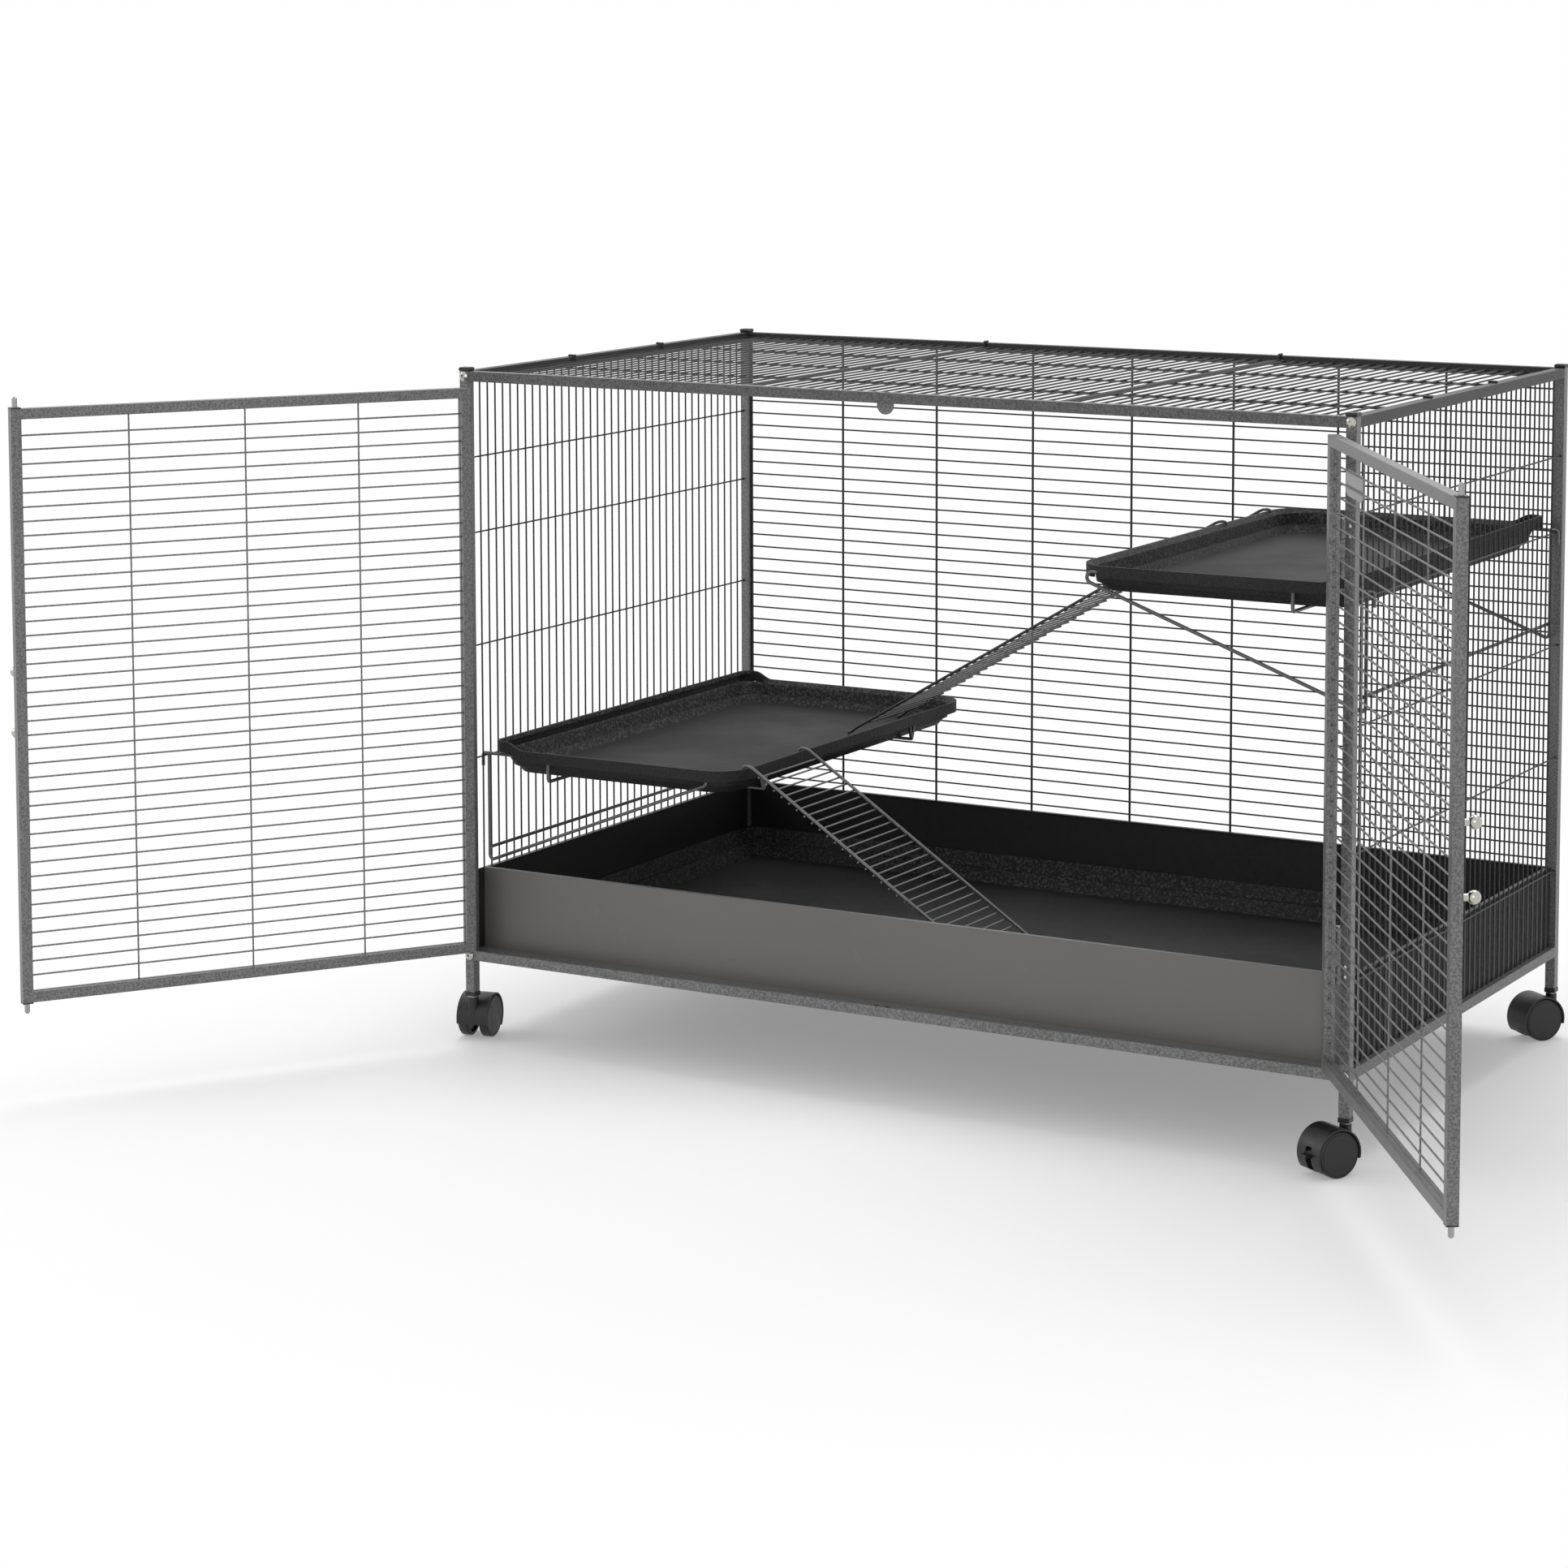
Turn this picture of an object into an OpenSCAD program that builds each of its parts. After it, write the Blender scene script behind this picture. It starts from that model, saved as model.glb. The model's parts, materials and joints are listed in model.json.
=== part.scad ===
// Ferret cage on casters: a square-tube frame with wire panels, two front doors on
// barrel hinges with sprung latch rods, two hung platforms, two wire ramps, sheet
// guards and a floor tray. Millimetres. Origin: centre of the footprint on the floor.
// +X to the right, +Y to the back, +Z up. The doors stand open.

/* [Frame] */
// Overall width over the posts
cage_w = 1150; // [900:1:1400]
// Overall depth over the posts
cage_d = 675; // [500:1:900]
// Height of the top of the frame above the floor
frame_top = 820; // [600:1:1200]
// Height of the underside of the bottom rails
rail_low = 100; // [80:1:140]
// Height of the lower ends of the posts
post_low = 60; // [56:1:70]
// Side of the square tube
tube = 12; // [10:0.5:20]
// Wall of the square tube
tube_wall = 1.2; // [0.8:0.1:2]

/* [Wires] */
// Diameter of the close-set wires
wire_d = 2.1; // [1.5:0.1:3]
// Distance between the close-set wires
wire_pitch = 16.45; // [12:0.05:25]
// Diameter of the cross wires of the side panels
row_d = 2; // [1.5:0.1:3]
// Diameter of the cross wires of the rear panel
rear_bar_d = 3; // [2:0.1:4]
// Distance between the cross wires of the rear panel
rear_bar_pitch = 140.75; // [80:0.25:200]
// Heights of the cross wires of the side panels
row_z = [206, 346, 484, 622, 714];
// Number of the row that carries the left platform
left_row = 1; // [0:1:4]
// Number of the row that carries the right platform
right_row = 3; // [0:1:4]
// Side of the square edge wires of the top and rear panels
edge_wire = 2.4; // [2.2:0.1:4]
// Distance of the two strong wires of the top panel from the middle
strong_x = 206; // [120:1:300]
// Diameter of the two strong wires
strong_d = 3.6; // [3:0.1:5]
// Distance of the side clips of the top panel from the middle
side_clip_y = 104; // [60:1:200]

/* [Doors] */
// Height of the lower edge of the doors
door_low = 115; // [114:0.5:130]
// Height of the upper edge of the doors
door_top = 802; // [500:0.5:1180]
// Gap between the two closed doors
door_gap = 2; // [1:0.5:6]
// Distance of the hinge axis inward from the post
axis_in = 1; // [1:0.1:3]
// Distance of the hinge axis in front of the frame
axis_out = 5; // [5:0.1:8]
// Distance of the door edge inward from the hinge axis
edge_in = 1; // [1:0.1:3]
// Angle that the left door stands open
left_open = 123.8; // [0:0.1:180]
// Angle that the right door stands open
right_open = 124.4; // [0:0.1:180]
// Width of the groove along the inner sides of the door tubes
groove_w = 3; // [2.4:0.1:4]
// Depth of that groove
groove_t = 0.6; // [0.3:0.1:0.8]
// Number of upright wires in each door
door_bars = 3; // [1:1:6]
// Spacing of the upright wires of a door
door_bar_pitch = 140; // [100:1:160]
// Height of the plastic plugs at the ends of the lock stiles
plug_h = 1.5; // [1:0.1:2]

/* [Hinges] */
// Diameter of the hinge barrels
barrel_d = 8; // [7:0.1:9]
// Length of a hinge barrel
barrel_h = 62; // [40:1:80]
// Diameter of the hinge pins
hinge_pin_d = 4; // [3:0.1:5]
// Radial clearance of the door knuckle on its pin
hinge_fit = 0.06; // [0.02:0.01:0.1]
// Gap between knuckles
knuckle_gap = 0.5; // [0.3:0.1:1]
// Thickness of the hinge leaves
leaf_t = 1.5; // [1:0.1:2]
// Distance of each hinge's middle from the end of the door
hinge_inset = 124; // [60:1:200]
// Diameter of the dome screws
screw_d = 5; // [4:0.1:6]

/* [Latches] */
// Diameter of the latch rods
rod_d = 6; // [5:0.1:7]
// Length of rod that stands out of the door
rod_out = 13.5; // [8:0.5:18]
// Travel of a latch rod
rod_travel = 14; // [8:0.5:20]
// Distance between the two knobs of a door
knob_gap = 71; // [64:1:120]
// Height of the middle between the two knobs
knob_z = 462; // [300:1:600]
// Diameter of the ball knobs
knob_d = 13.6; // [10:0.1:13.8]
// Diameter of the knob stems
knob_stem_d = 7; // [4:0.1:8]
// Length of the bare stem in front of the door
knob_stem = 5.4; // [3:0.1:12]
// Wire of the latch springs
spring_wire = 0.9; // [0.6:0.1:1.2]
// Turns of a latch spring
spring_turns = 5; // [3:1:8]

/* [Platforms] */
// Width of a platform, from the wall
tray_w = 340; // [250:1:400]
// Wire gaps between the two consoles of a bracket
span_gaps = 36; // [20:1:36]
// Wire gap of the left platform's front console, counted from the middle of the cage
left_gap = -18; // [-18:1:-17]
// Wire gap of the right platform's front console
right_gap = -17; // [-18:1:-17]
// Distance of a console from the end of the platform
console_in = 5.5; // [5.3:0.1:6.5]
// Height of the skirt round a platform
rim_h = 13.5; // [13:0.5:18]
// Depth of the pan below the skirt
pan_h = 16; // [14:0.5:20]
// Extra height of the skirt along the wall
wall_lift = 9.5; // [9:0.5:14]
// Wall of the platforms
tray_wall = 2.5; // [2:0.1:3]
// Radius of the platforms' inner corners
tray_r = 45; // [30:1:50]
// Radius of the platforms' corners at the wall
wall_r = 15; // [14:1:30]
// Height of a platform's rim above the wire that carries it
rim_above_row = 10.5; // [10:0.5:12]
// Distance of the left bracket's outer end from the outer edge of the platform
left_reach = 39.5; // [4:0.5:60]
// Distance of the right bracket's outer end from the outer edge of the platform
right_reach = 15; // [4:0.5:60]
// Distance of the cradle wire from the wall
cradle_x = 89; // [60:1:150]
// Distance of the first bearer wire behind the front edge of the platform
bearer_in = 82; // [60:1:150]
// Distance between the two bearer wires
bearer_gap = 374; // [200:1:400]
// Diameter of the bracket wire
bracket_d = 4; // [3:0.1:5]
// Drop of the bracket along the wall
bracket_drop = 131; // [80:1:160]

/* [Ramps] */
// Width of the ramps over the side rods
ramp_w = 138; // [100:1:140]
// Diameter of the side rods
ramp_rod_d = 3.5; // [3:0.1:5]
// Diameter of the rungs
rung_d = 2.4; // [2:0.1:3]
// Distance between rungs
rung_pitch = 12.3; // [10:0.1:25]
// Front rod of the lower ramp
low_ramp_y = -266; // [-266:1:0]
// Run of the lower ramp along the floor
low_ramp_run = 375; // [300:1:600]
// Front rod of the upper ramp
high_ramp_y = 122; // [0:1:122]
// Distance of the upper ramp's foot from the edge of the left platform
high_ramp_land = 81; // [60:1:200]

/* [Base] */
// Thickness of the sheet guards
guard_t = 1.2; // [0.8:0.1:2]
// Height of the upper edge of the guards
guard_top = 210; // [160:1:300]
// Distance of the front guard behind the front of the frame
guard_back = 28.5; // [26:0.5:60]
// Height of the rim of the floor tray
base_h = 36; // [20:1:60]
// Thickness of the floor tray
base_t = 2.5; // [2:0.1:4]

/* [Casters] */
// Wheel diameter
wheel_d = 51; // [50:0.5:52]
// Thickness of each wheel
wheel_t = 11.5; // [9:0.5:13]
// Width over both wheels
wheels_w = 39; // [37:0.5:44]
// Distance of the axle from the swivel axis
trail = 22; // [20:0.5:26]
// Clearance between the wheels and the hood
hood_gap = 1; // [0.5:0.1:1.5]
// Wall of the hood
hood_t = 2; // [1.5:0.1:2.5]
// Diameter of the caster stems
stem_d = 8; // [6:0.1:8.5]
// Diameter of the hood's neck
neck_d = 13.4; // [12:0.1:14]
// Radial clearance of the stem in the neck
stem_fit = 0.06; // [0.02:0.01:0.1]
// Diameter of the axle
axle_d = 5; // [4:0.1:6]
// Headings of the casters: front left, front right, rear right, rear left
headings = [102, -120, -126, -120];

/* [Hidden] */
$fn = 32;
eps = 0.01;
seat = 0.3;
skim = 0.05;
face_gap = 0.02;
frame_grey = [0.40, 0.40, 0.41];
black = [0.10, 0.10, 0.11];
silver = [0.78, 0.78, 0.80];
hw = cage_w / 2;
hd = cage_d / 2;
post_x = hw - tube / 2;
post_y = hd - tube / 2;
open_x = hw - tube;
open_y = hd - tube;
rail_top = rail_low + tube;
rail_mid_low = rail_low + tube / 2;
top_mid = frame_top - tube / 2;
bore_w = tube - 2 * tube_wall;
bury = tube_wall / 2;
wire_in_x = post_x - wire_d / 2;
row_x = post_x + wire_d / 2 + row_d / 2 + skim;
bolt_head_d = tube - 0.6;
bolt_head_h = 3.2;
bolt_rim_h = 1.4;
bolt_d = 5.6;
bolt_hole_d = 6;
bolt_len = tube + 10;
row_hole_d = row_d + 0.8;
axis_x = open_x - axis_in;
axis_y = -hd - axis_out;
door_w = open_x - axis_in - edge_in - door_gap / 2;
door_h = door_top - door_low;
rod_u = door_w - tube / 2;
rod_hole_d = rod_d + 1;
plug_in = 5;

// Swept round wire through a list of points
function unit(v) = v / norm(v);
function tangent(p, i) =
    i == 0 ? unit(p[1] - p[0]) :
    i == len(p) - 1 ? unit(p[i] - p[i - 1]) :
    unit(unit(p[i] - p[i - 1]) + unit(p[i + 1] - p[i]));
function ring(p, i, r, n, side) =
    let (t = tangent(p, i), a = unit(cross(t, side)), b = cross(t, a))
    [for (k = [0 : n - 1]) p[i] + r * (a * cos(360 * (k + 0.5) / n) + b * sin(360 * (k + 0.5) / n))];
// Skin over a row of rings with n points each
module skin_rings(pts, rings, n) {
    last = (rings - 1) * n;
    polyhedron(pts, concat(
        [[for (k = [0 : n - 1]) k]],
        [for (i = [0 : rings - 2], k = [0 : n - 1])
            let (a = i * n + k, b = i * n + (k + 1) % n) [a, a + n, b]],
        [for (i = [0 : rings - 2], k = [0 : n - 1])
            let (b = i * n + (k + 1) % n, a = i * n + k) [b, a + n, b + n]],
        [[for (k = [0 : n - 1]) last + n - 1 - k]]), convexity = 8);
}
module bent_wire(p, d, side = [0, 1, 0], n = 8) {
    r = d / 2 / cos(180 / n) * 0.98;
    skin_rings([for (i = [0 : len(p) - 1]) each ring(p, i, r, n, side)], len(p), n);
}
// Points of a round bend in the XZ plane
function bend(cx, cz, r, a0, a1, y, n) =
    [for (i = [0 : n]) let (a = a0 + (a1 - a0) * i / n) [cx + r * cos(a), y, cz + r * sin(a)]];

module bar_x(x0, x1, y, z, d) {
    translate([x0, y, z]) rotate([0, 90, 0]) cylinder(d = d, h = x1 - x0);
}
module bar_y(x, y0, y1, z, d) {
    translate([x, y0, z]) rotate([-90, 0, 0]) cylinder(d = d, h = y1 - y0);
}
module bar_z(x, y, z0, z1, d) {
    translate([x, y, z0]) cylinder(d = d, h = z1 - z0);
}
module round_rect(w, d, r) {
    translate([r, 0]) square([w - 2 * r, d]);
    translate([0, r]) square([w, d - 2 * r]);
    for (x = [r, w - r], y = [r, d - r]) translate([x, y]) circle(r = r);
}
// Rounded slab of a tray outline, drawn in by inset
module slab(w, d, r, inset, z, h) {
    translate([inset, inset, z])
        linear_extrude(h) round_rect(w - 2 * inset, d - 2 * inset, max(r - inset / 2, 4));
}
// Tapered pan between two insets
module taper(w, d, r, in0, z0, in1, z1) {
    hull() {
        slab(w, d, r, in0, z0, eps);
        slab(w, d, r, in1, z1 - eps, eps);
    }
}
module hollow_bar(size, wall) {
    difference() {
        cube(size);
        translate([wall, wall, -1]) cube([size[0] - 2 * wall, size[1] - 2 * wall, size[2] + 2]);
    }
}

// ---------------------------------------------------------------- frame
// One corner post: sx and sy are its side of the cage
module post(sx, sy) {
    color(frame_grey) difference() {
        translate([sx * post_x - tube / 2, sy * post_y - tube / 2, post_low])
            hollow_bar([tube, tube, frame_top - post_low], tube_wall);
        for (z = [rail_mid_low, top_mid])
            translate([sx * post_x, sy * post_y, z]) rotate([90, 0, 0])
                cylinder(d = bolt_hole_d, h = tube + 2, center = true);
        for (z = row_z)
            translate([sx * row_x, sy * (open_y + tube_wall / 2), z]) rotate([90, 0, 0])
                cylinder(d = row_hole_d, h = tube_wall + 1, center = true);
        if (sy < 0)
            for (z = hinge_z, k = [-1, 1])
                translate([sx * screw_x, -hd - 1, screw_z(z) + k * screw_half]) rotate([-90, 0, 0])
                    cylinder(d = screw_core_d + 0.1, h = tube_wall + 2);
    }
}
module front_left_post() { post(-1, -1); }
module front_right_post() { post(1, -1); }
module rear_left_post() { post(-1, 1); }
module rear_right_post() { post(1, 1); }

cap_over = 0.8;
cap_h = 4.5;
cap_in = 2.6;
module post_caps() {
    color(black) for (sx = [-1, 1], sy = [-1, 1]) translate([sx * post_x, sy * post_y, frame_top]) {
        hull() {
            translate([-tube / 2, -tube / 2, 0]) cube([tube, tube, eps]);
            translate([-tube / 2 - cap_over, -tube / 2 - cap_over, 1.6])
                cube([tube + 2 * cap_over, tube + 2 * cap_over, cap_h - 1.6 - 0.6]);
        }
        translate([-tube / 2, -tube / 2, 0]) cube([tube, tube, cap_h]);
        difference() {
            translate([-bore_w / 2 + 0.1, -bore_w / 2 + 0.1, -cap_in])
                cube([bore_w - 0.2, bore_w - 0.2, cap_in + 1]);
            translate([-bore_w / 2 + 1.6, -bore_w / 2 + 1.6, -cap_in - 1])
                cube([bore_w - 3.2, bore_w - 3.2, cap_in]);
        }
    }
}

sock_lip = 0.5;
sock_flange = 5;
sock_in = 30;
module leg_sockets() {
    color(black) for (sx = [-1, 1], sy = [-1, 1]) translate([sx * post_x, sy * post_y, post_low])
        difference() {
            union() {
                translate([-tube / 2 - sock_lip, -tube / 2 - sock_lip, -sock_flange])
                    cube([tube + 2 * sock_lip, tube + 2 * sock_lip, sock_flange]);
                translate([-bore_w / 2 + 0.1, -bore_w / 2 + 0.1, -eps])
                    cube([bore_w - 0.2, bore_w - 0.2, sock_in]);
            }
            translate([0, 0, -sock_flange - 1]) cylinder(d = stem_d, h = sock_flange + sock_in - 2);
        }
}

// Front rail along X with the two holes that the latch rods enter
module front_rail(z) {
    difference() {
        translate([-open_x, -post_y, z]) rotate([0, 90, 0]) translate([-tube / 2, -tube / 2, 0])
            hollow_bar([tube, tube, 2 * open_x], tube_wall);
        for (s = [-1, 1])
            translate([s * (door_gap / 2 + tube / 2), -post_y, z])
                cylinder(d = rod_hole_d, h = tube + 2, center = true);
    }
}
module front_top_rail() {
    color(frame_grey) front_rail(top_mid);
}
// Half-round tab behind the top rail that both doors close against
stop_r = 10.5;
stop_drop = 14;
stop_t = 1.6;
stop_on = 3;
module door_stop() {
    color(frame_grey) translate([0, -open_y, frame_top - tube]) {
        difference() {
            translate([0, seat + stop_t, stop_r - stop_drop]) rotate([90, 0, 0])
                cylinder(r = stop_r, h = stop_t);
            translate([-stop_r, 0, 0]) cube([2 * stop_r, stop_t + 1, stop_r]);
        }
        translate([-stop_r, seat, stop_r - stop_drop])
            cube([2 * stop_r, stop_t, stop_drop - stop_r + stop_on]);
        translate([-stop_r, face_gap, 0.5]) cube([2 * stop_r, seat + stop_t - face_gap, stop_on - 0.5]);
    }
}
module front_bottom_rail() {
    color(frame_grey) front_rail(rail_mid_low);
}

// Rails of the rear panel with its close-set level wires and upright bars
rear_count = floor((frame_top - tube - rail_top - 12) / wire_pitch);
rear_first = frame_top - tube - 14;
rear_bars = floor((open_x - 60) / rear_bar_pitch);
module rear_panel() {
    color(frame_grey) {
        for (z = [rail_mid_low, top_mid])
            translate([-open_x, post_y, z]) rotate([0, 90, 0]) translate([-tube / 2, -tube / 2, 0])
                hollow_bar([tube, tube, 2 * open_x], tube_wall);
        for (k = [-rear_bars : rear_bars])
            bar_z(k * rear_bar_pitch, post_y + wire_d / 2 + rear_bar_d / 2 + skim, rail_top - bury,
                  frame_top - tube + bury, rear_bar_d);
        for (s = [-1, 1])
            translate([s * (open_x - edge_wire / 2), post_y, (rail_top + frame_top - tube) / 2])
                cube([edge_wire, edge_wire, frame_top - tube - rail_top + 2 * bury], center = true);
        for (k = [0 : rear_count - 1])
            bar_x(-open_x + edge_wire / 2, open_x - edge_wire / 2, post_y,
                  rear_first - k * wire_pitch, wire_d);
    }
}

// Side panel: two rails, close-set upright wires and the level rows that carry the platforms
side_count = floor((2 * open_y - 30) / wire_pitch) + 1;
module side_rail(sx, z) {
    difference() {
        translate([sx * post_x - tube / 2, -open_y, z - tube / 2]) cube([tube, 2 * open_y, tube]);
        translate([sx * post_x - bore_w / 2, -open_y + bolt_len - tube + 2, z - bore_w / 2])
            cube([bore_w, 2 * open_y - 2 * (bolt_len - tube + 2), bore_w]);
        for (s = [-1, 1])
            translate([sx * post_x, s * (open_y - 6), z]) rotate([90, 0, 0])
                cylinder(d = bolt_d, h = 20, center = true);
    }
}
module side_panel(sx) {
    color(frame_grey) {
        for (z = [rail_mid_low, top_mid]) side_rail(sx, z);
        for (k = [0 : side_count - 1])
            bar_z(sx * post_x, (k - (side_count - 1) / 2) * wire_pitch, rail_top - bury,
                  frame_top - tube + bury, wire_d);
        for (z = row_z)
            bar_y(sx * row_x, -open_y - tube_wall - 1.5, open_y + tube_wall + 1.5, z, row_d);
    }
}
module left_panel() { side_panel(-1); }
module right_panel() { side_panel(1); }

// Top panel: square edge wire, close-set wires front to back, three cross wires and rail clips
top_count = floor((2 * open_x - 20) / wire_pitch);
clip_d = 2.8;
module clip(len) {
    bar_z(0, -clip_d / 2 - 0.5, 0, frame_top + clip_d / 2 + 0.1 - top_mid, clip_d);
    translate([0, -clip_d / 2 - 0.5, frame_top + clip_d / 2 + 0.1 - top_mid]) sphere(d = clip_d);
    translate([0, 0, frame_top + clip_d / 2 + 0.1 - top_mid])
        bar_y(0, -clip_d / 2 - 0.5, len, 0, clip_d);
    translate([0, len, frame_top + clip_d / 2 + 0.1 - top_mid]) sphere(d = clip_d);
}
module top_panel() {
    ex = open_x - seat;
    ey = open_y - seat;
    color(frame_grey) {
        difference() {
            translate([-ex, -ey, top_mid - edge_wire / 2]) cube([2 * ex, 2 * ey, edge_wire]);
            translate([-ex + edge_wire, -ey + edge_wire, top_mid - edge_wire])
                cube([2 * (ex - edge_wire), 2 * (ey - edge_wire), 2 * edge_wire]);
        }
        for (k = [0 : top_count - 1])
            let (x = (k - (top_count - 1) / 2) * wire_pitch)
            if (abs(abs(x) - strong_x) > strong_d)
                bar_y(x, -ey + edge_wire / 2, ey - edge_wire / 2, top_mid, wire_d);
        for (s = [-1, 1])
            bar_y(s * strong_x, -ey + edge_wire / 2, ey - edge_wire / 2, top_mid, strong_d);
        for (k = [-1 : 1])
            bar_x(-ex + 0.5, ex - 0.5, k * (ey / 2), top_mid - wire_d / 2 - row_d / 2 - skim, row_d);
        for (s = [-1, 1]) translate([s * strong_x, ey, top_mid]) clip(tube * 0.6);
        for (sx = [-1, 1], s = [-1, 1])
            translate([sx * ex, s * side_clip_y, top_mid]) rotate([0, 0, -sx * 90]) clip(tube * 0.6);
    }
}

// Button-head screws through the posts into the side rails
module frame_bolts() {
    color(silver) for (sx = [-1, 1], sy = [-1, 1], z = [rail_mid_low, top_mid])
        translate([sx * post_x, sy * hd, z]) rotate([sy * -90, 0, 0]) difference() {
            union() {
                cylinder(d = bolt_head_d, h = bolt_rim_h);
                translate([0, 0, bolt_rim_h])
                    cylinder(d1 = bolt_head_d, d2 = bolt_head_d - 5, h = bolt_head_h - bolt_rim_h);
                translate([0, 0, -bolt_len]) cylinder(d = bolt_d - 0.1, h = bolt_len + eps);
            }
            translate([0, 0, bolt_head_h - 2]) cylinder(d = 4.6, h = 3, $fn = 6);
        }
}

// ---------------------------------------------------------------- base
guard_in_x = wire_in_x - 0.35 - guard_t;
guard_in_y = post_y - wire_d / 2 - 0.35 - guard_t;
hem = 6;
foot_on = 1.5;
foot_t = 0.8;
module front_guard() {
    w = guard_in_x - 0.5;
    color(frame_grey) {
        translate([-w, -hd + guard_back, rail_top]) cube([2 * w, guard_t, guard_top - rail_top]);
        translate([-open_x + 0.5, -open_y - foot_on, rail_top])
            cube([2 * open_x - 1, guard_back - tube + foot_on + guard_t, foot_t]);
        translate([-w, -hd + guard_back, guard_top - guard_t]) cube([2 * w, hem, guard_t]);
    }
}
module rear_guard() {
    w = open_x - 0.5;
    color(black) {
        translate([-w, guard_in_y, rail_top]) cube([2 * w, guard_t, guard_top - rail_top]);
        translate([-w, guard_in_y + guard_t - hem, guard_top - guard_t]) cube([2 * w, hem, guard_t]);
    }
}
module side_guard(sx) {
    w = open_y - 0.5;
    color(black) {
        translate([sx > 0 ? guard_in_x : -guard_in_x - guard_t, -w, rail_top])
            cube([guard_t, 2 * w, guard_top - rail_top]);
        translate([sx > 0 ? guard_in_x + guard_t - hem : -guard_in_x - guard_t,
                   -hd + guard_back + hem + 1, guard_top - guard_t])
            cube([hem, 2 * hd - guard_back - hem - 1 - tube - hem, guard_t]);
    }
}
module left_guard() { side_guard(-1); }
module right_guard() { side_guard(1); }

base_x = guard_in_x - seat;
base_y0 = -hd + guard_back + guard_t + seat;
base_y1 = guard_in_y - seat;
base_lip = 4.5;
base_step = 13;
base_ledge = 4;
base_slope = 30;
base_r = 25;
base_hollow = 20;
module floor_tray() {
    w = 2 * base_x;
    d = base_y1 - base_y0;
    r = base_r;
    step_z = base_h * 0.52;
    color(black) translate([-base_x, base_y0, rail_top]) difference() {
        slab(w, d, r, 0, 0, base_h);
        taper(w, d, r, base_step, step_z, base_lip, base_h + 0.1);
        taper(w, d, r, base_slope, base_t, base_step + base_ledge, step_z + eps);
        difference() {
            slab(w, d, r, base_t, -1, base_h - base_t);
            taper(w, d, r, base_hollow, -1.1, base_lip - 1.5, base_h - base_t);
        }
    }
}

// ---------------------------------------------------------------- platforms
rim_top_w = 3.5;
arm_z = row_d / 2 + bracket_d / 2 + 0.1;
arm_room = 0.4;
tray_h = rim_h + pan_h;
// Insets of the inside of the pan: foot of its side, both edges of the ledge, knee below the rim
floor_in = 24;
ledge_in = 17;
slope_in = 14.5;
knee_in = console_in + bracket_d / 2 + arm_room + tray_wall;
ledge_z = tray_wall + 8.5;
knee_z = tray_h - rim_above_row + arm_z + bracket_d / 2 + arm_room;
knee_wall_in = slope_in + (rim_top_w - slope_in) * (knee_z - ledge_z) / (tray_h + wall_lift - ledge_z);
skin = 2.4;
floor_r = 32;
fall_start = 18;
fall_end = 44;
gap_shift = side_count % 2 == 0 ? 0 : 0.5;
left_console = (left_gap - gap_shift) * wire_pitch;
right_console = (right_gap - gap_shift) * wire_pitch;
console_span = span_gaps * wire_pitch;
tray_d = console_span + 2 * console_in;
tray_off = 11;
// Flat outline of a platform drawn in by inset, at the wall by wall_in
module tray_outline(inset, wall_in, r_wall, r_in) {
    w = tray_w - inset - wall_in;
    d = tray_d - 2 * inset;
    translate([wall_in, inset]) {
        translate([r_wall, 0]) square([w - r_wall - r_in, d]);
        translate([0, r_wall]) square([r_wall, d - 2 * r_wall]);
        translate([w - r_in, r_in]) square([r_in, d - 2 * r_in]);
        for (y = [r_wall, d - r_wall]) translate([r_wall, y]) circle(r = r_wall);
        for (y = [r_in, d - r_in]) translate([w - r_in, y]) circle(r = r_in);
    }
}
// Thin pads whose hull is one stage of the tray: [inset, inset at the wall, height, two radii]
module stage(pads) {
    hull() for (p = pads) translate([0, 0, p[2]]) linear_extrude(eps) tray_outline(p[0], p[1], p[3], p[4]);
}
// Level line that falls from the lifted skirt at the wall to the low skirt
fall = concat([[-1, wall_lift]],
    [for (i = [0 : 8]) [fall_start + (fall_end - fall_start) * i / 8, wall_lift * (1 + cos(22.5 * i)) / 2]],
    [[tray_w + 1, 0]]);
function fall_at(z) = [for (p = fall) [p[0], p[1] + z]];
function back(p) = [for (i = [len(p) - 1 : -1 : 0]) p[i]];
// Slice of the tray from end to end between a lower and an upper line
module slice(low, high) {
    rotate([90, 0, 0]) translate([0, 0, -tray_d - 1])
        linear_extrude(tray_d + 2) polygon(concat(low, back(high)));
}
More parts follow.
